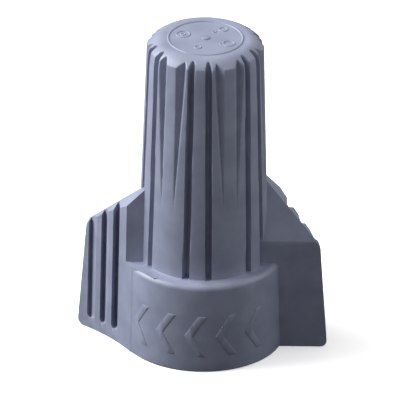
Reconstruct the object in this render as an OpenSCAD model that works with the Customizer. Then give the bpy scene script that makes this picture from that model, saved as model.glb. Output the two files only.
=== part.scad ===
// Winged twist-on wire connector: a moulded plastic shell round a conical
// square-wire spring. It stands on its open end, closed end up.
// Origin: centre of the open end. +Z: towards the closed end. X: across the wings.
// Lengths are millimetres.

/* [Cap] */
// Height from the open end to the moulded mark on the closed end
total_h = 36; // [34:0.5:40]
// Diameter of the cap across its lands, just under the closed end
cap_top_d = 12.6; // [12.4:0.1:13.2]
// Diameter of the cap across its lands, where it meets the skirt
cap_rim_d = 14; // [13.8:0.1:14.4]
// How far the closed end falls off from its flat face to the lands
top_drop = 1; // [0.6:0.05:1.2]

/* [Grip grooves] */
// Number of times that the groove pattern repeats round the cap
lobes = 6; // [5:1:6]
// Turn of the pattern: the first narrow land, measured from +X
pattern_turn = 265; // [0:1:359]
// Opening width of a deep groove
groove_w = 0.7; // [0.6:0.05:0.8]
// Depth of a deep groove
groove_depth = 1; // [0.6:0.05:1]
// Opening width of a fading V groove at the closed end
vee_w = 1.25; // [0.8:0.05:1.3]
// Depth of a fading V groove at the closed end
vee_depth = 0.75; // [0.5:0.05:0.9]
// Height at which the V grooves fade out
vee_end_z = 17.8; // [16:0.2:24]

/* [Skirt] */
// Height of the skirt's rim
skirt_h = 10.2; // [9.8:0.2:11]
// Diameter of the skirt at its rim
skirt_rim_d = 17; // [16.6:0.1:17.2]
// Diameter of the skirt at the open end
skirt_base_d = 17.6; // [17.3:0.1:17.8]
// Radius of the rounded rim
rim_round = 0.6; // [0.2:0.05:0.7]

/* [Wings] */
// Span across both wings at the open end
wing_span = 27; // [26:0.1:28]
// Distance from the axis plane to a wing's plain face
plain_face_y = 2.6; // [2.4:0.1:2.8]
// Direction that a push face looks in, measured from the wing
push_turn = 41.5; // [41:0.5:43]
// Distance from the axis to a push face at the open end
push_reach = 8.22; // [8.1:0.02:8.4]
// Radius that a push face is hollowed to across its width
push_hollow_r = 25; // [20:1:40]
// Number of finger slots in a push face
slot_count = 3; // [1:1:3]

/* [Wire entry] */
// Diameter of the straight bore that takes the insulated wires
bore_d = 14.6; // [14:0.1:14.8]
// Depth of the straight bore
bore_depth = 8.4; // [7.5:0.1:8.6]

/* [Spring] */
// Side of the square wire
wire_side = 1.1; // [0.9:0.05:1.2]
// Number of turns
turns = 11; // [8:1:12]
// Diameter over the coil at its wide end
coil_mouth_d = 10; // [9.6:0.1:10]
// Diameter over the coil at its narrow end
coil_tip_d = 7.3; // [7:0.1:7.4]

/* [Hidden] */
$fn = 96;

// Closed end: the small moulded mark stands this high above the flat face
mark_h = 0.12;
face_z = total_h - mark_h;
side_top_z = face_z - top_drop;
flat_r = 4.6;
ring_r = 4;
ring_w = 0.16;
gate_r = 0.55;

// Spring chamber, with a retaining bead under the coil's wide end
coil_gap = 0.25;
bead_r = 4.8;
bead_z = 9.9;
chamber_z = 10.2;
chamber_top_z = 32.6;
mouth_r = coil_mouth_d / 2 + coil_gap;
tip_r = coil_tip_d / 2 + coil_gap;

// Coil: the wire stands on its corner, so its section is a diamond
wire_half = wire_side / sqrt(2);
coil_z0 = chamber_z + coil_gap + wire_half;
coil_z1 = chamber_top_z - coil_gap - wire_half;
coil_r0 = coil_mouth_d / 2 - wire_half;
coil_r1 = coil_tip_d / 2 - wire_half;
rings_per_turn = 30;
ring_count = turns * rings_per_turn;

// Grooves: half angles from a narrow land, at the closed end and lower down
groove_top_turn = 8.7;
groove_low_turn = 10.2;
vee_top_turn = 17.2;
vee_low_turn = 23.6;
vee_steep_share = 0.36;
land_drop = (cap_rim_d - cap_top_d) / 2 / (side_top_z - skirt_h);

// Wings: shoulder line, draft of the tip, lean of the faces
tip_draft = 0.072;
shoulder_slope = 1.15;
shoulder_top_z = 19.5;
shoulder_top_x = 6;
corner_round = 0.8;
shoulder_round = 1.6;
wing_root_x = 4;
lean_z = 12.7;
plain_lean = 0.65;
wall_y = 2.75;
wall_lean = 0.05;
push_draft = 0.02;
push_tilt = atan(push_draft);
push_middle = 5.45;
cut_reach = 14;

// Finger slots: a slanted section, open at the shoulder, closed at the foot.
// Each is shallower than the one before it, because the wing thins to its tip.
slot_first = 4.4;
slot_pitch = 1.9;
slot_w = 1.1;
slot_depth = 1;
slot_step = 0.3;
slot_slant = 0.15;
slot_floor = 0.6;
slot_foot_z = 1.45;

// Point on a straight line between a and b, t from 0 to 1
function mix(a, b, t) = a + (b - a) * t;

// Points of an arc about c from angle a0 to a1
function arc(c, r, a0, a1, steps = 6) =
    [for (i = [0 : steps])
        let (a = mix(a0, a1, i / steps))
        [c[0] + r * cos(a), c[1] + r * sin(a)]];

// Radius of the cap's lands at height z
function land_r(z) = cap_top_d / 2 + land_drop * (side_top_z - z);

// Stands its children at angle a0, radius r0, height z0, and leans their +Z
// towards the point at a1, r1, z1, with +X kept outwards.
module along(a0, r0, z0, a1, r1, z1) {
    dx = r1 * cos(a1 - a0) - r0;
    dy = r1 * sin(a1 - a0);
    len = norm([dx, dy, z1 - z0]);
    rx = -asin(dy / len);
    ry = asin(dx / (len * cos(rx)));
    rotate([0, 0, a0])
        translate([r0, 0, z0])
            rotate([rx, ry, 0])
                children();
}

// Outside of the cap and the skirt, as one turned blank
module blank() {
    rim_r = skirt_rim_d / 2;
    base_r = skirt_base_d / 2;
    dome = [[1, 1], [0.86, 0.64], [0.56, 0.2], [0, 0]];
    rotate_extrude()
        polygon(concat(
            [[0, 0], [base_r - 0.15, 0], [base_r, 0.2]],
            arc([rim_r - rim_round, skirt_h - rim_round], rim_round, 0, 90),
            [[cap_rim_d / 2, skirt_h]],
            [for (p = dome)
                [mix(flat_r, cap_top_d / 2, p[0]), face_z - top_drop * p[1]]],
            [[0, face_z]]));
}

// Round-bottomed groove that runs from the closed end down to the skirt
module deep_groove(side, turn) {
    foot_z = skirt_h + 0.05;
    floor_r = groove_w * 0.32;
    along(turn + side * groove_low_turn, land_r(foot_z), foot_z,
          turn + side * groove_top_turn, land_r(total_h), total_h + 1)
        linear_extrude(total_h)
            polygon(concat(
                [[1, -groove_w / 2], [0, -groove_w / 2]],
                arc([floor_r - groove_depth, 0], floor_r, 270, 90),
                [[0, groove_w / 2], [1, groove_w / 2]]));
}

// V groove that is deepest at the closed end and fades out down the cap. Its
// flank towards the narrow land is the steeper one.
module vee_groove(side, turn) {
    steep = vee_w * vee_steep_share / vee_depth;
    shallow = vee_w * (1 - vee_steep_share) / vee_depth;
    out = 1;
    run_out = 3;
    along(turn + side * vee_low_turn, land_r(vee_end_z), vee_end_z,
          turn + side * vee_top_turn, land_r(total_h) - vee_depth, total_h)
        translate([0, 0, -run_out])
            linear_extrude(total_h)
                polygon([[0, 0], [out, -side * out * steep], [out, side * out * shallow]]);
}

// All the grooves round the cap
module grip_cuts() {
    for (i = [0 : lobes - 1], side = [-1, 1]) {
        turn = pattern_turn + i * 360 / lobes;
        deep_groove(side, turn);
        vee_groove(side, turn);
    }
}

// Raised ring and gate mark on the closed end
module top_marks() {
    overlap = 0.2;
    rotate_extrude()
        translate([ring_r - ring_w / 2, face_z - overlap])
            square([ring_w, mark_h + overlap]);
    translate([0, 0, face_z - overlap])
        cylinder(r = gate_r, h = mark_h + overlap);
}

// Side view of a wing: flat foot, drafted tip, sloping shoulder
module wing_outline() {
    half = wing_span / 2;
    tip_z = (shoulder_top_z - shoulder_slope * (half - shoulder_top_x))
            / (1 - shoulder_slope * tip_draft);
    tip_x = half - tip_draft * tip_z;
    draft_turn = atan(tip_draft);
    shoulder_turn = 90 - atan(shoulder_slope);
    r = shoulder_round;
    back_off = r * tan((shoulder_turn - draft_turn) / 2);
    arc_x = tip_x + tip_draft * back_off - r * cos(draft_turn);
    arc_z = tip_z - back_off - r * sin(draft_turn);
    polygon(concat(
        [[wing_root_x, 0]],
        arc([half - corner_round, corner_round], corner_round, 270, 360 + draft_turn),
        arc([arc_x, arc_z], r, draft_turn, shoulder_turn),
        [[shoulder_top_x, shoulder_top_z],
         [wing_root_x, shoulder_top_z]]));
}

// Block extruded along X from an outline given in Y and Z
module along_x(points) {
    rotate([90, 0, 90])
        linear_extrude(2 * cut_reach)
            polygon(points);
}

// Frame of a push face: +X out of the face, -Y towards the tip, +Z up the face
module on_push_face() {
    rotate([0, 0, push_turn])
        translate([push_reach, 0, 0])
            rotate([0, -push_tilt, 0])
                children();
}

// One slanted finger slot, its edge nearest the axis at distance s
module finger_slot(s, depth) {
    far = s + slot_w + slot_slant;
    on_push_face()
        translate([0, 0, slot_foot_z])
            linear_extrude(2 * cut_reach)
                polygon([[0.5, -s], [0, -s],
                         [-depth, slot_floor - far], [-depth, -far],
                         [0, -s - slot_w], [0.5, -s - slot_w]]);
}

// The wing on +X: plain face towards -Y, push face towards +Y
module wing() {
    top = skirt_h + cut_reach;
    outer_y = 5.6;
    difference() {
        translate([0, outer_y, 0])
            rotate([90, 0, 0])
                linear_extrude(outer_y + plain_face_y)
                    wing_outline();
        along_x([[-plain_face_y, lean_z], [-cut_reach, lean_z], [-cut_reach, top],
                 [plain_lean * (top - lean_z) - plain_face_y, top]]);
        along_x([[wall_y, skirt_h], [cut_reach, skirt_h], [cut_reach, top],
                 [wall_y - wall_lean * (top - skirt_h), top]]);
        on_push_face()
            translate([push_hollow_r, -push_middle, -cut_reach])
                cylinder(r = push_hollow_r, h = 3 * cut_reach);
        for (i = [0 : slot_count - 1])
            finger_slot(slot_first + i * slot_pitch, slot_depth - i * slot_step);
    }
}

// Inside of the shell: wire bore, guide cone, retaining bead, spring chamber
module cavity() {
    rotate_extrude()
        polygon([[0, bore_depth], [bore_d / 2, bore_depth], [bead_r, bead_z - 0.1],
                 [bead_r, bead_z], [mouth_r, chamber_z], [tip_r, chamber_top_z],
                 [0, chamber_top_z]]);
    translate([0, 0, -1])
        cylinder(d = bore_d, h = bore_depth + 1);
}

// Moulded shell: cap, skirt and wings in one piece
module shell() {
    color([0.44, 0.47, 0.57])
        difference() {
            union() {
                difference() {
                    blank();
                    grip_cuts();
                }
                top_marks();
                for (turn = [0, 180])
                    rotate([0, 0, turn])
                        wing();
            }
            cavity();
        }
}

// Four corners of the wire's section at ring i of the coil
function wire_ring(i) =
    let (t = i / ring_count,
         a = 360 * i / rings_per_turn,
         r = mix(coil_r0, coil_r1, t),
         z = mix(coil_z0, coil_z1, t))
    [for (k = [0 : 3])
        let (b = 90 * k, out = r + wire_half * cos(b))
        [out * cos(a), out * sin(a), z + wire_half * sin(b)]];

// Conical coil of square wire, right-hand wound, corner inwards
module spring() {
    points = [for (i = [0 : ring_count]) each wire_ring(i)];
    last = 4 * ring_count;
    sides = [for (i = [0 : ring_count - 1], k = [0 : 3])
        let (a = 4 * i + k, b = 4 * i + (k + 1) % 4)
        each [[a, a + 4, b + 4], [a, b + 4, b]]];
    ends = [[0, 1, 2, 3], [last + 3, last + 2, last + 1, last]];
    color([0.78, 0.79, 0.8])
        polyhedron(points, concat(sides, ends));
}

shell();
spring();
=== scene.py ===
# %% [markdown]
# # A winged twist-on wire connector
# The object is two real pieces: a moulded plastic shell (cap, skirt and wings in one shot) and a
# conical coil of square steel wire inside it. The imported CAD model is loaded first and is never
# changed. It says where everything goes; the pieces below are finer meshes made round it.

# %% Load the frame
import math

import bmesh
import bpy
from mathutils import Matrix, Vector


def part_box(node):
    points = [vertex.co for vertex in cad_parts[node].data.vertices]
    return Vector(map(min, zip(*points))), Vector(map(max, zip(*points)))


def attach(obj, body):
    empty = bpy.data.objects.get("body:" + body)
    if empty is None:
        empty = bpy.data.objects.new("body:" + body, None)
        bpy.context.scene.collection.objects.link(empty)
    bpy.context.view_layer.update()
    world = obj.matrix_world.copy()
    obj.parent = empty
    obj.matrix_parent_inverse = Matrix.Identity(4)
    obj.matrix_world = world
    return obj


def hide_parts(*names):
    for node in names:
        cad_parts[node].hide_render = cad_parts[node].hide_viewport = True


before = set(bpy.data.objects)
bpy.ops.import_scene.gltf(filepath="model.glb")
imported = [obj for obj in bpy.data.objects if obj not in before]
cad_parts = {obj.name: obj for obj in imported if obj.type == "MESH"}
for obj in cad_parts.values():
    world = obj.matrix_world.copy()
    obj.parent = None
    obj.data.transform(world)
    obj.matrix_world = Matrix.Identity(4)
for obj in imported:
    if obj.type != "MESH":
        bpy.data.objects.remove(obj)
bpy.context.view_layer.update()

# %% [markdown]
# ## Measures
# Blender works in metres here, but a connector is drawn in millimetres, so every length is a plain
# number of millimetres and `MM` turns it into metres once, where a mesh is made. The height comes
# from the CAD node's own box. The rest are close to the CAD's design values, with softer corners,
# and the skirt's foot is a hair smaller so that the fine mesh stays inside the CAD's box.

# %% Measures in millimetres
MM = 0.001
shell_low, shell_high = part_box("shell")
HEIGHT = (shell_high.z - shell_low.z) / MM
HALF_SPAN = 13.5

MARK_H = 0.12
FACE_Z = HEIGHT - MARK_H
DOME_R = 4.6
DOME_DROP = 0.68
LAND_TOP_R = 6.3
LAND_RIM_R = 7.0
CORNER_ROUND = 0.3
SIDE_TOP_Z = FACE_Z - DOME_DROP - CORNER_ROUND

SKIRT_H = 10.2
SKIRT_RIM_R = 8.5
SKIRT_BASE_R = 8.797
LIP_ROUND = 0.6

BORE_R = 7.3
BORE_DEPTH = 8.4
print(f"height {HEIGHT:.2f} mm, half span {shell_high.x / MM:.2f} mm")

# %% [markdown]
# ## Small helpers
# An operator works on whatever is selected, and loading the frame leaves the CAD nodes selected.
# So each step starts from a clean selection. `pick` selects faces, edges or points by a test on
# their place, which is how a script points at "the top edge" without a mouse.

# %% Selection helpers
def only(obj):
    """Select obj alone and make it the active object."""
    bpy.ops.object.select_all(action="DESELECT")
    obj.select_set(True)
    bpy.context.view_layer.objects.active = obj
    return obj


def name_new(name):
    """Name the primitive that was just added, mesh and all."""
    obj = bpy.context.view_layer.objects.active
    obj.name = obj.data.name = name
    return only(obj)


def edit(obj):
    only(obj)
    bpy.ops.object.mode_set(mode="EDIT")


def leave_edit():
    bpy.ops.object.mode_set(mode="OBJECT")


def pick(kind, test):
    """In edit mode, select only the "VERT", "EDGE" or "FACE" elements whose middle passes the test (mm)."""
    bpy.ops.mesh.select_mode(type=kind)
    bpy.ops.mesh.select_all(action="DESELECT")
    mesh = bmesh.from_edit_mesh(bpy.context.edit_object.data)
    chosen = 0
    for item in {"VERT": mesh.verts, "EDGE": mesh.edges, "FACE": mesh.faces}[kind]:
        points = [item.co] if kind == "VERT" else [v.co for v in item.verts]
        ends = [p / MM for p in points]
        middle = sum(ends, Vector()) / len(ends)
        if test(middle, ends):
            item.select = True
            chosen += 1
    mesh.select_flush_mode()
    bmesh.update_edit_mesh(bpy.context.edit_object.data)
    return chosen


def apply_modifier(obj, kind, **settings):
    """Add one modifier, set it up and apply it at once."""
    only(obj)
    modifier = obj.modifiers.new(kind.title(), kind)
    for key, value in settings.items():
        setattr(modifier, key, value)
    bpy.ops.object.modifier_apply(modifier=modifier.name)


def boolean(obj, tool, operation):
    """Join tool to obj, or cut it away, and throw the tool away afterwards."""
    apply_modifier(obj, "BOOLEAN", object=tool, operation=operation, solver="EXACT")
    bpy.data.objects.remove(tool)


def count(obj):
    return f"{obj.name}: {len(obj.data.vertices)} points, {len(obj.data.polygons)} faces"


# %% [markdown]
# ## The turned blank
# The cap and the skirt are round, so they start as a profile spun about the axis, like a piece on
# a lathe. The profile is drawn by extruding one point again and again. Short arcs give every edge
# the small radius that a mould leaves, because those radii are what catches the light.

# %% Draw the profile and spin it
SPIN_STEPS = 480
SIDE_ROWS = 30
DOME_ROWS = 14


def mix(a, b, t):
    return a + (b - a) * t


def arc(centre, radius, start, stop, steps):
    """Points of an arc in the profile plane, angles in degrees from the +X direction."""
    turns = [math.radians(start + (stop - start) * i / steps) for i in range(steps + 1)]
    return [(centre[0] + radius * math.cos(t), centre[1] + radius * math.sin(t)) for t in turns]


def line(start, stop, steps):
    """Points along a straight stretch, its first end left out."""
    return [(start[0] + (stop[0] - start[0]) * i / steps, start[1] + (stop[1] - start[1]) * i / steps)
            for i in range(1, steps + 1)]


def spun(name, points, steps):
    """A solid of revolution: extrude one point along the profile, then spin it all the way round."""
    bpy.ops.mesh.primitive_plane_add(size=MM)
    obj = name_new(name)
    edit(obj)
    bpy.ops.mesh.merge(type="CENTER")
    here = (0.0, 0.0)
    for number, (r, z) in enumerate(points):
        step = Vector((r - here[0], 0, z - here[1])) * MM
        if number == 0:
            bpy.ops.transform.translate(value=step)
        else:
            bpy.ops.mesh.extrude_region_move(TRANSFORM_OT_translate={"value": step})
        here = (r, z)
    bpy.ops.mesh.select_all(action="SELECT")
    bpy.ops.mesh.spin(steps=steps, angle=math.tau, center=(0, 0, 0), axis=(0, 0, 1))
    bpy.ops.mesh.select_all(action="SELECT")
    bpy.ops.mesh.remove_doubles(threshold=MM * 0.002)
    bpy.ops.mesh.normals_make_consistent(inside=False)
    leave_edit()
    return obj


GATE_R = 0.42
RING_R = 4.0
RING_HALF = 0.13

gate = [(0, HEIGHT - 0.02), (GATE_R * 0.8, HEIGHT)] + arc((GATE_R, FACE_Z + 0.05), 0.05, 60, 0, 2)
ring = arc((RING_R, FACE_Z - 0.04), RING_HALF, 165, 15, 6)
side_foot = (LAND_RIM_R, SKIRT_H + 0.06)
dome_edge = LAND_TOP_R - CORNER_ROUND * 0.8
dome = []
for row in range(1, DOME_ROWS + 1):
    u = row / DOME_ROWS
    dome.append((mix(DOME_R, dome_edge, u), FACE_Z - DOME_DROP * u ** 2))
profile = gate + [(GATE_R + 0.06, FACE_Z)] + ring + line(ring[-1], (DOME_R, FACE_Z), 2) + dome
profile += arc((LAND_TOP_R - CORNER_ROUND, SIDE_TOP_Z), CORNER_ROUND, 38, 2, 5)
profile += line(profile[-1], side_foot, SIDE_ROWS)
profile += [(LAND_RIM_R + 0.07, SKIRT_H)]
profile += arc((SKIRT_RIM_R - LIP_ROUND, SKIRT_H - LIP_ROUND), LIP_ROUND, 90, 2, 7)
profile += line(profile[-1], (SKIRT_BASE_R, 0.2), 8)
profile += arc((SKIRT_BASE_R - 0.2, 0.2), 0.2, -15, -90, 4)
profile += [(0, 0)]
shell = spun("shell_moulding", profile, SPIN_STEPS)
print(count(shell))

# %% [markdown]
# ## Grip grooves
# Six times round the cap there is a narrow land, a deep round-bottomed groove on each side of it,
# then a V groove that fades out half way down, then a wide land. Cutting 24 grooves with Booleans
# would leave ragged edges. Instead each point is given a weight that says how far in it has to go,
# and one Cast modifier pulls the points towards a thin core cylinder by that weight.

# %% Weigh the groove points and cast them inwards
LOBES = 6
FIRST_LAND = 265.0
DEEP_WIDTH = 0.72
DEEP_DEPTH = 1.0
VEE_WIDTH = 1.3
VEE_STEEP = 0.36
VEE_DEPTH = 0.75
VEE_END_Z = 17.8
CORE_R = 3.0


def land_radius(z):
    """Radius of the lands at height z: the cap widens from the closed end to the skirt."""
    return mix(LAND_RIM_R, LAND_TOP_R, (z - SKIRT_H) / (SIDE_TOP_Z - SKIRT_H))


def groove_depth(turn, z):
    """Depth of the grooves below the lands at a turn in degrees and a height in mm."""
    period = 360 / LOBES
    off = abs((turn - FIRST_LAND + period / 2) % period - period / 2)
    t = (z - SKIRT_H) / (SIDE_TOP_Z - SKIRT_H)
    radius = land_radius(z)
    across = math.radians(off - mix(10.2, 8.7, t)) * radius
    u = min(1, abs(across) / (DEEP_WIDTH / 2))
    deep = DEEP_DEPTH * (1 - u ** 2.6) ** 0.62
    if off < 16:
        deep = max(deep, 0.35 * max(0, (z - HEIGHT + 1.9) / 1.6) ** 2)
    fade = (z - VEE_END_Z) / (HEIGHT - VEE_END_Z)
    if fade <= 0:
        return deep
    across = math.radians(off - mix(23.6, 17.2, fade)) * radius
    share = 1 - VEE_STEEP if across > 0 else VEE_STEEP
    u = min(1, abs(across) / (VEE_WIDTH * share * fade))
    return max(deep, VEE_DEPTH * fade * (1 - u ** 1.15))


carve = shell.vertex_groups.new(name="grooves")
for vertex in shell.data.vertices:
    x, y, z = vertex.co / MM
    radius = math.hypot(x, y)
    if z < SKIRT_H + 0.03 or radius < LAND_TOP_R - 1.25:
        continue
    floor = land_radius(z) - groove_depth(math.degrees(math.atan2(y, x)), z)
    if radius > floor:
        carve.add([vertex.index], (radius - floor) / (radius - CORE_R), "REPLACE")
apply_modifier(shell, "CAST", cast_type="CYLINDER", use_x=True, use_y=True, use_z=False,
               factor=1.0, use_radius_as_size=False, size=CORE_R * MM, vertex_group="grooves")
print("grooves carved to radius", round(min(math.hypot(v.co.x, v.co.y) for v in shell.data.vertices
                                           if SKIRT_H * MM * 1.1 < v.co.z < SIDE_TOP_Z * MM) / MM, 2))

# %% [markdown]
# ## Wings
# A wing is a flat block whose faces lean: a plain face on one side, a push face for the thumb on
# the other, a sloping shoulder on top. Each flat face is one bisect of a box, the corners are
# bevelled while they are still clean edges, and the notch, the thumb hollow and the finger slots
# are cut afterwards. One wing is made and the other is its copy, turned half round the axis.

# %% Box the wing and cut its faces
PLAIN_Y = 2.6
WALL_Y = 2.75
WALL_LEAN = 0.05
LEAN_Z = 12.7
PLAIN_LEAN = 0.65
TIP_DRAFT = 0.072
SHOULDER_SLOPE = 1.1
SHOULDER_TOP = (6.0, 19.0)
PUSH_TURN = math.radians(42.5)
PUSH_REACH = 8.6
PUSH_TILT = math.atan(0.045)
TILT_TURN = math.radians(32.5)
CREST_ROUND = 0.75


def box(name, low, high):
    """A box primitive between two corners, in millimetres, its place kept in its mesh."""
    low, high = Vector(low), Vector(high)
    bpy.ops.mesh.primitive_cube_add(size=MM, location=(low + high) / 2 * MM)
    obj = name_new(name)
    obj.scale = high - low
    bpy.ops.object.transform_apply(location=True, rotation=True, scale=True)
    return obj


def cut_off(point, normal):
    """In edit mode, bisect the whole mesh, fill the cut, and drop what is on the normal's side."""
    bpy.ops.mesh.select_mode(type="VERT")
    bpy.ops.mesh.select_all(action="SELECT")
    bpy.ops.mesh.bisect(plane_co=Vector(point) * MM, plane_no=normal, use_fill=True,
                        clear_outer=True, threshold=MM * 0.0005)


def round_edges(test, radius, segments):
    """In edit mode, bevel the edges that pass the test."""
    found = pick("EDGE", test)
    bpy.ops.mesh.bevel(offset=radius * MM, offset_type="OFFSET", segments=segments, profile=0.5)
    return found


def on_crest(middle, ends):
    """The level edge where a wing's tip meets its shoulder."""
    return middle.x > 12 and 11 < middle.z < 13 and abs(ends[0].z - ends[1].z) < 0.1


push_frame = (Matrix.Rotation(PUSH_TURN, 4, "Z") @ Matrix.Translation((PUSH_REACH * MM, 0, 0))
              @ Matrix.Rotation(TILT_TURN, 4, "Z") @ Matrix.Rotation(-PUSH_TILT, 4, "Y")
              @ Matrix.Rotation(-TILT_TURN, 4, "Z"))
push_out = push_frame.to_3x3() @ Vector((1, 0, 0))
push_point = push_frame.translation / MM

wing = box("wing", (4, -PLAIN_Y, 0), (HALF_SPAN, 6.5, SHOULDER_TOP[1]))
edit(wing)
cut_off((HALF_SPAN, 0, 0), (1, 0, TIP_DRAFT))
cut_off((SHOULDER_TOP[0], 0, SHOULDER_TOP[1]), (SHOULDER_SLOPE, 0, 1))
rounded = round_edges(on_crest, CREST_ROUND, 8)
rounded += round_edges(lambda m, ends: m.x > 13 and m.z < 0.1, CREST_ROUND, 6)
cut_off((0, -PLAIN_Y, LEAN_Z), (0, -1, PLAIN_LEAN))
cut_off(push_point, push_out)
leave_edit()
print(count(wing), "edges rounded:", rounded)

# %% [markdown]
# ### Notch, thumb hollow and finger slots
# Above the skirt's rim the wing narrows to a web, so a leaning block is cut away beside the cap.
# The thumb hollow is one very large upright cylinder that dishes the push face across its width.
# The slots are slanted: their floor lies further out than their mouth. Each is shallower than the
# one before it, because the wing thins to its tip. Their lower ends are rounded like the end mill
# that cut the mould, and they run out through the shoulder. A small bevel then breaks every edge.

# %% Cut the notch, the hollow and the slots
SLOT_COUNT = 3
SLOT_FIRST = 4.65
SLOT_PITCH = 1.84
SLOT_WIDTH = 1.1
SLOT_DEPTH = 1.0
SLOT_STEP = 0.35
SLOT_SLANT = 0.34
SLOT_FLOOR = 0.3
SLOT_FOOT = 1.45
SLOT_FOOT_ROUND = 0.5
MOUTH = -0.45
HOLLOW_R = 20.0
HOLLOW_DEEP = 0.5
HOLLOW_MIDDLE = 6.6
EDGE_BREAK = 0.07
REACH = 14

notch = box("notch", (0, WALL_Y, SKIRT_H), (REACH, WALL_Y + REACH, SKIRT_H + REACH))
edit(notch)
pick("VERT", lambda m, ends: m.z > SKIRT_H + 1 and m.y < WALL_Y + 1)
bpy.ops.transform.translate(value=(0, -WALL_LEAN * REACH * MM, 0))
leave_edit()
boolean(wing, notch, "DIFFERENCE")

bpy.ops.mesh.primitive_cylinder_add(vertices=512, radius=HOLLOW_R * MM, depth=3 * REACH * MM)
hollow = name_new("hollow")
offset = Vector((HOLLOW_R - HOLLOW_DEEP, -HOLLOW_MIDDLE, 0)) * MM
hollow.matrix_world = push_frame @ Matrix.Translation(offset)
bpy.ops.object.transform_apply(location=True, rotation=True, scale=True)
boolean(wing, hollow, "DIFFERENCE")

for number in range(SLOT_COUNT):
    near = -(SLOT_FIRST + number * SLOT_PITCH)
    deep = SLOT_DEPTH - number * SLOT_STEP
    bed = MOUTH - deep
    slot = box("slot", (bed, near - SLOT_WIDTH, SLOT_FOOT), (0.6, near, 2 * REACH))
    edit(slot)
    round_edges(lambda m, ends: abs(ends[0].x - ends[1].x) > 0.9 and m.z < SLOT_FOOT + 0.1,
                SLOT_FOOT_ROUND, 6)
    bpy.ops.mesh.select_all(action="SELECT")
    bpy.ops.mesh.bisect(plane_co=(MOUTH * MM, 0, 0), plane_no=(1, 0, 0))
    pick("VERT", lambda m, ends: m.x < bed + 0.01)
    middle = Vector((bed, near - SLOT_WIDTH / 2, REACH)) * MM
    bpy.ops.transform.resize(value=(1, SLOT_FLOOR / SLOT_WIDTH, 1), center_override=middle)
    shift = (SLOT_WIDTH - SLOT_FLOOR) / 2 + SLOT_SLANT * deep
    bpy.ops.transform.translate(value=(0, -shift * MM, 0))
    leave_edit()
    slot.matrix_world = push_frame
    only(slot)
    bpy.ops.object.transform_apply(location=True, rotation=True, scale=True)
    boolean(wing, slot, "DIFFERENCE")

apply_modifier(wing, "BEVEL", width=EDGE_BREAK * MM, segments=3, limit_method="ANGLE",
               angle_limit=math.radians(35), harden_normals=False)
print(count(wing))

# %% [markdown]
# ### Both wings on the cap
# The copy gets its own mesh, turned by half a turn. A union then makes one moulding of the three,
# as it is on the real part, where plastic flows from the cap into the wings.

# %% Copy the wing and join both to the cap
only(wing)
bpy.ops.object.duplicate()
other_wing = name_new("wing_opposite")
other_wing.rotation_euler = (0, 0, math.pi)
bpy.ops.object.transform_apply(location=True, rotation=True, scale=True)
boolean(shell, wing, "UNION")
boolean(shell, other_wing, "UNION")
print(count(shell))

# %% [markdown]
# ## Raised marks
# The skirt carries five raised chevrons on each side. They point the way that the connector is
# twisted on. Each one is a bar whose middle is pushed sideways, and the whole row is intersected
# with a thin skin of the skirt's own shape, so the marks follow the cone and stand 0.055 mm proud.

# %% Raise the chevrons and the marks on the closed end
CHEVRONS = 5
CHEVRON_STEP = 22.5
CHEVRON_LOW = 1.9
CHEVRON_TALL = 4.7
CHEVRON_STROKE = 0.85
CHEVRON_LEAN = 1.5
MARK_PROUD = 0.055


def skirt_radius(z):
    return mix(SKIRT_BASE_R, SKIRT_RIM_R, z / (SKIRT_H - LIP_ROUND))


middle_z = CHEVRON_LOW + CHEVRON_TALL / 2
bars = []
for side in (265, 85):
    for number in range(CHEVRONS):
        bar = box("chevron", (7.9, -CHEVRON_STROKE / 2, CHEVRON_LOW),
                  (9.4, CHEVRON_STROKE / 2, CHEVRON_LOW + CHEVRON_TALL))
        edit(bar)
        bpy.ops.mesh.select_all(action="SELECT")
        bpy.ops.mesh.bisect(plane_co=(0, 0, middle_z * MM), plane_no=(0, 0, 1))
        pick("VERT", lambda m, ends: abs(m.z - middle_z) < 0.1)
        bpy.ops.transform.translate(value=(0, -CHEVRON_LEAN * MM, 0))
        bpy.ops.mesh.select_all(action="SELECT")
        bpy.ops.transform.translate(value=(0, CHEVRON_LEAN / 2 * MM, 0))
        leave_edit()
        bar.rotation_euler = (0, 0, math.radians(side + (number - 2) * CHEVRON_STEP))
        bpy.ops.object.transform_apply(location=True, rotation=True, scale=True)
        bars.append(bar)
bpy.ops.object.select_all(action="DESELECT")
for bar in bars:
    bar.select_set(True)
bpy.context.view_layer.objects.active = bars[0]
bpy.ops.object.join()
chevrons = name_new("chevrons")
low_edge = (skirt_radius(1) + MARK_PROUD, 1)
high_edge = (skirt_radius(9) + MARK_PROUD, 9)
skin = spun("relief_skin", [(0, 1), low_edge, high_edge, (0, 9)], 240)
boolean(chevrons, skin, "INTERSECT")
apply_modifier(chevrons, "BEVEL", width=0.05 * MM, segments=2, limit_method="ANGLE",
               angle_limit=math.radians(50))
print(count(chevrons))
boolean(shell, chevrons, "UNION")

MARKS = [(-2.4, 0.85, 0.72), (-2.4, 0.85, 0.25), (2.5, -1.25, 0.62), (1.75, -1.3, 0.2),
         (1.9, 2.1, 0.45), (0.9, 1.5, 0.2), (-0.8, -2.15, 0.35)]
for x, y, r in MARKS:
    bpy.ops.mesh.primitive_torus_add(location=(x * MM, y * MM, (FACE_Z - 0.02) * MM), major_radius=r * MM,
                                     minor_radius=0.085 * MM, major_segments=32, minor_segments=10)
    mark = name_new("top_mark")
    bpy.ops.object.transform_apply(location=True, rotation=True, scale=True)
    boolean(shell, mark, "UNION")
print(count(shell))

# %% [markdown]
# ## The hollow inside
# The mouth is a straight bore for the insulated wires, then a guide cone, a small bead that keeps
# the coil in, and a conical chamber. It is a spun cutter taken out of the solid.

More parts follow.
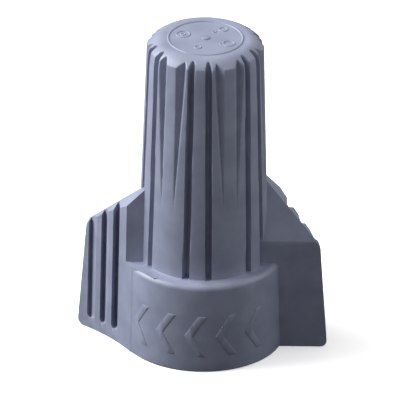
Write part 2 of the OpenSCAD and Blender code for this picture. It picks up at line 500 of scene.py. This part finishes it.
# %% Cut the bore and the spring chamber
BEAD_R = 4.8
BEAD_Z = 9.9
CHAMBER_Z = 10.2
CHAMBER_R = 5.25
CHAMBER_TOP_R = 3.9
CHAMBER_TOP_Z = 32.6
BORE_BREAK = 0.15
cutter_points = [(0, -1), (BORE_R + BORE_BREAK, -1), (BORE_R + BORE_BREAK, 0), (BORE_R, BORE_BREAK * 1.5),
                 (BORE_R, BORE_DEPTH - 0.1), (BORE_R - 0.1, BORE_DEPTH),
                 (BEAD_R + 0.08, BEAD_Z - 0.14), (BEAD_R, BEAD_Z - 0.05), (BEAD_R, BEAD_Z + 0.05),
                 (CHAMBER_R, CHAMBER_Z), (CHAMBER_TOP_R, CHAMBER_TOP_Z - 0.3),
                 (CHAMBER_TOP_R - 0.3, CHAMBER_TOP_Z), (0, CHAMBER_TOP_Z)]
cavity = spun("cavity", cutter_points, 160)
boolean(shell, cavity, "DIFFERENCE")
edit(shell)
bpy.ops.mesh.select_all(action="SELECT")
bpy.ops.mesh.remove_doubles(threshold=MM * 0.0005)
leave_edit()
print(count(shell))

# %% [markdown]
# ## The coil
# Square wire, wound as a right-hand cone and set on its corner, so that one sharp edge faces
# inwards and cuts a thread in the copper. A curve with a square bevel profile sweeps it evenly,
# and the turns themselves are worked out by a loop.

# %% Wind the coil
WIRE_SIDE = 1.1
WIRE_ROUND = 0.12
TURNS = 11
STEPS_PER_TURN = 48
COIL_GAP = 0.25
WIRE_HALF = WIRE_SIDE / math.sqrt(2)
COIL_START = (5.0 - WIRE_HALF, CHAMBER_Z + COIL_GAP + WIRE_HALF)
COIL_END = (3.65 - WIRE_HALF, CHAMBER_TOP_Z - COIL_GAP - WIRE_HALF)

bpy.ops.mesh.primitive_plane_add(size=WIRE_SIDE * MM, rotation=(0, 0, math.radians(45)))
section = name_new("wire_section")
bpy.ops.object.transform_apply(location=True, rotation=True, scale=True)
edit(section)
bpy.ops.mesh.select_all(action="SELECT")
bpy.ops.mesh.bevel(offset=WIRE_ROUND * MM, segments=2, affect="VERTICES")
bpy.ops.mesh.delete(type="ONLY_FACE")
leave_edit()
bpy.ops.object.convert(target="CURVE")

path = bpy.data.curves.new("coil_path", "CURVE")
path.dimensions = "3D"
path.twist_mode = "Z_UP"
track = path.splines.new("POLY")
track.points.add(TURNS * STEPS_PER_TURN)
for number, point in enumerate(track.points):
    t = number / (TURNS * STEPS_PER_TURN)
    turn = math.tau * number / STEPS_PER_TURN
    radius, z = mix(COIL_START[0], COIL_END[0], t), mix(COIL_START[1], COIL_END[1], t)
    point.co = (radius * math.cos(turn) * MM, radius * math.sin(turn) * MM, z * MM, 1)
path.bevel_mode = "OBJECT"
path.bevel_object = section
path.use_fill_caps = True
coil = bpy.data.objects.new("spring_coil", path)
bpy.context.scene.collection.objects.link(coil)
only(coil)
bpy.ops.object.convert(target="MESH")
bpy.data.objects.remove(section)
coil = name_new("spring_coil")
edit(coil)
bpy.ops.mesh.select_all(action="SELECT")
bpy.ops.mesh.remove_doubles(threshold=MM * 0.002)
bpy.ops.mesh.normals_make_consistent(inside=False)
leave_edit()
print(count(coil))

# %% [markdown]
# ## Smooth shading
# Shading by angle keeps a real corner crisp where two faces meet at more than 42 degrees, and
# blends the facets of every round surface. The bevels and arcs above are finer than that, so
# they shade as the small soft radii that they are. Weighting the shell's normals by face area then
# keeps its large flat faces flat right up to their bevels.

# %% Shade both pieces
for piece in (shell, coil):
    only(piece)
    bpy.ops.object.shade_smooth_by_angle(angle=math.radians(42))
apply_modifier(shell, "WEIGHTED_NORMAL", mode="FACE_AREA", keep_sharp=True)

# %% [markdown]
# ## Materials
# Both finishes are procedural and use Object coordinates, so a pattern stays on its piece when the
# piece turns. One helper adds a node with its settings and links, which keeps each material short.

# %% Material helpers
def linear(hex_colour):
    """An sRGB hex colour as linear RGBA."""
    channels = [int(hex_colour[i:i + 2], 16) / 255 for i in (1, 3, 5)]
    return [c / 12.92 if c <= 0.04045 else ((c + 0.055) / 1.055) ** 2.4 for c in channels] + [1]


def node(tree, kind, settings=None, links=None):
    """Add one node. settings are properties or input values, links are input name to output."""
    made = tree.nodes.new(kind)
    for key, value in (settings or {}).items():
        if isinstance(key, str) and hasattr(made, key):
            setattr(made, key, value)
        else:
            made.inputs[key].default_value = value
    for key, output in (links or {}).items():
        tree.links.new(output, made.inputs[key])
    return made


def new_material(name):
    material = bpy.data.materials.new(name)
    material.use_nodes = True
    tree = material.node_tree
    return material, tree, tree.nodes["Principled BSDF"]


# %% [markdown]
# ### The shell's plastic
# Moulded polypropylene: a dielectric with an IOR of 1.49 and no metal. The pigment is not quite
# even, so a slow noise of about 2.5 mm mixes two close blue-greys, and the same noise moves the
# roughness, because a mould's texture wears unevenly. A fine grain of 0.16 mm is a faint bump,
# far too small to model.

# %% Blue-grey polypropylene
plastic, tree, shader = new_material("moulded_polypropylene")
where = node(tree, "ShaderNodeTexCoord").outputs["Object"]
mottle = node(tree, "ShaderNodeTexNoise", {"Scale": 1 / (2.5 * MM), "Detail": 3.0}, {"Vector": where})
tint = node(tree, "ShaderNodeValToRGB", None, {"Fac": mottle.outputs["Fac"]})
tint.color_ramp.elements[0].color = linear("#878DA3")
tint.color_ramp.elements[1].color = linear("#9197AD")
tint.color_ramp.elements[0].position, tint.color_ramp.elements[1].position = 0.35, 0.65
tree.links.new(tint.outputs["Color"], shader.inputs["Base Color"])
grain = node(tree, "ShaderNodeTexNoise", {"Scale": 1 / (0.16 * MM), "Detail": 2.0}, {"Vector": where})
bump = node(tree, "ShaderNodeBump", {"Strength": 0.25, "Distance": 0.01 * MM},
            {"Height": grain.outputs["Fac"]})
tree.links.new(bump.outputs["Normal"], shader.inputs["Normal"])
gloss = node(tree, "ShaderNodeMapRange", {"From Min": 0.3, "From Max": 0.7, "To Min": 0.38, "To Max": 0.5},
             {"Value": mottle.outputs["Fac"]})
tree.links.new(gloss.outputs["Result"], shader.inputs["Roughness"])
shader.inputs["IOR"].default_value = 1.49
shell.data.materials.clear()
shell.data.materials.append(plastic)

# %% [markdown]
# ### The coil's steel
# Bright zinc plate: fully metallic, with a pale base colour. Drawn wire is smooth in some places
# and dull in others, so a noise of under a millimetre sets the roughness between 0.2 and 0.38.

# %% Zinc-plated wire
steel, tree, shader = new_material("zinc_plated_steel_wire")
where = node(tree, "ShaderNodeTexCoord").outputs["Object"]
patch = node(tree, "ShaderNodeTexNoise", {"Scale": 1 / (0.8 * MM), "Detail": 3.0}, {"Vector": where})
tint = node(tree, "ShaderNodeValToRGB", None, {"Fac": patch.outputs["Fac"]})
tint.color_ramp.elements[0].color = linear("#B9BCC2")
tint.color_ramp.elements[1].color = linear("#D5D7DB")
tree.links.new(tint.outputs["Color"], shader.inputs["Base Color"])
gloss = node(tree, "ShaderNodeMapRange", {"To Min": 0.2, "To Max": 0.38}, {"Value": patch.outputs["Fac"]})
tree.links.new(gloss.outputs["Result"], shader.inputs["Roughness"])
shader.inputs["Metallic"].default_value = 1.0
coil.data.materials.clear()
coil.data.materials.append(steel)

# %% [markdown]
# ## Riding on the bodies
# Each mesh rides on the CAD body that it belongs to and takes the place of one CAD node, so a
# joint that turns the spring's body turns this coil as well.

# %% Ride on the CAD bodies
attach(shell, "shell")
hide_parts("shell")
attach(coil, "spring")
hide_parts("spring")

# %% [markdown]
# ## The stage
# A product shot on white: a wide sheet of white paper as the floor. White paper would bounce so
# much light up that the skirt went flat, so the sheet is hidden from bounced rays, and a round
# black card under it keeps light off the lower half of the object. A little glow in the paper
# keeps the shadows pale.

# %% Floor
bpy.ops.mesh.primitive_plane_add(size=8)
floor = name_new("floor")
paper, tree, shader = new_material("white_paper")
shader.inputs["Base Color"].default_value = linear("#FFFFFF")
shader.inputs["Roughness"].default_value = 1.0
shader.inputs["Specular IOR Level"].default_value = 0.0
shader.inputs["Emission Color"].default_value = (1, 1, 1, 1)
shader.inputs["Emission Strength"].default_value = 0.4
floor.data.materials.append(paper)
floor.visible_diffuse = False
floor.visible_glossy = False

bpy.ops.mesh.primitive_circle_add(vertices=96, radius=0.05, fill_type="NGON", location=(0, 0, -0.0001))
card = name_new("black_card")
black, tree, shader = new_material("black_card_stock")
shader.inputs["Base Color"].default_value = linear("#050505")
shader.inputs["Roughness"].default_value = 0.9
card.data.materials.append(black)

# %% [markdown]
# ## Light
# The sky is an even grey that is brighter overhead, which gives the flat closed end its pale tone.
# One big softbox on the left makes the left lands bright and leaves the right side in soft shade,
# and a weak one on the right keeps the far lands from going dead. Big lights close to a small
# object make soft edges.

# %% Lights
bpy.context.scene.view_settings.view_transform = "Standard"
world = bpy.data.worlds.new("studio")
bpy.context.scene.world = world
world.use_nodes = True
tree = world.node_tree
direction = node(tree, "ShaderNodeTexCoord").outputs["Generated"]
height = node(tree, "ShaderNodeSeparateXYZ", None, {"Vector": direction}).outputs["Z"]
sky = node(tree, "ShaderNodeMapRange", {"From Min": -0.6, "From Max": 0.9, "To Min": 0.25, "To Max": 0.38},
           {"Value": height})
tree.links.new(sky.outputs["Result"], tree.nodes["Background"].inputs["Strength"])
tree.nodes["Background"].inputs["Color"].default_value = (1, 1, 1, 1)


def soft_light(name, azimuth, elevation, distance, size, power):
    """A square softbox aimed at the object's middle. Azimuth 0 is behind the camera, -90 its left."""
    a, e = math.radians(azimuth), math.radians(elevation)
    aim = Vector((0, 0, HEIGHT / 2 * MM))
    away = Vector((math.sin(a) * math.cos(e), -math.cos(a) * math.cos(e), math.sin(e)))
    bpy.ops.object.light_add(type="AREA", location=aim + away * distance)
    lamp = bpy.context.object
    lamp.name = name
    lamp.rotation_euler = away.to_track_quat("Z", "Y").to_euler()
    lamp.data.size = size
    lamp.data.energy = power
    return lamp


soft_light("key_left", -98, 35, 0.5, 0.4, 4.9)
soft_light("fill_right", 95, 30, 0.5, 0.4, 0.8)

# %% [markdown]
# ## Camera
# A long lens from 1.5 m away, 27.6 degrees above the horizon. Such a distance keeps the vertical
# edges nearly parallel, as in catalogue pictures of small parts. `back` points from the object to
# the camera and `up` is the camera's own up direction.

# %% Camera
CAMERA_DISTANCE = 1.5
CAMERA_ELEVATION = math.radians(27.58)
CAMERA_ROLL = math.radians(0.65)
back = Vector((0, -math.cos(CAMERA_ELEVATION), math.sin(CAMERA_ELEVATION)))
up = Vector((0, math.sin(CAMERA_ELEVATION), math.cos(CAMERA_ELEVATION)))
aim = Vector((-0.39 * MM, 0, HEIGHT / 2 * MM)) - up * 1.48 * MM
bpy.ops.object.camera_add(location=aim + back * CAMERA_DISTANCE)
camera = bpy.context.object
camera.rotation_mode = "QUATERNION"
roll = Matrix.Rotation(CAMERA_ROLL, 3, "Z").to_quaternion()
camera.rotation_quaternion = back.to_track_quat("Z", "Y") @ roll
camera.data.sensor_width = 36
camera.data.lens = 1255
camera.data.clip_end = 10
bpy.context.scene.camera = camera
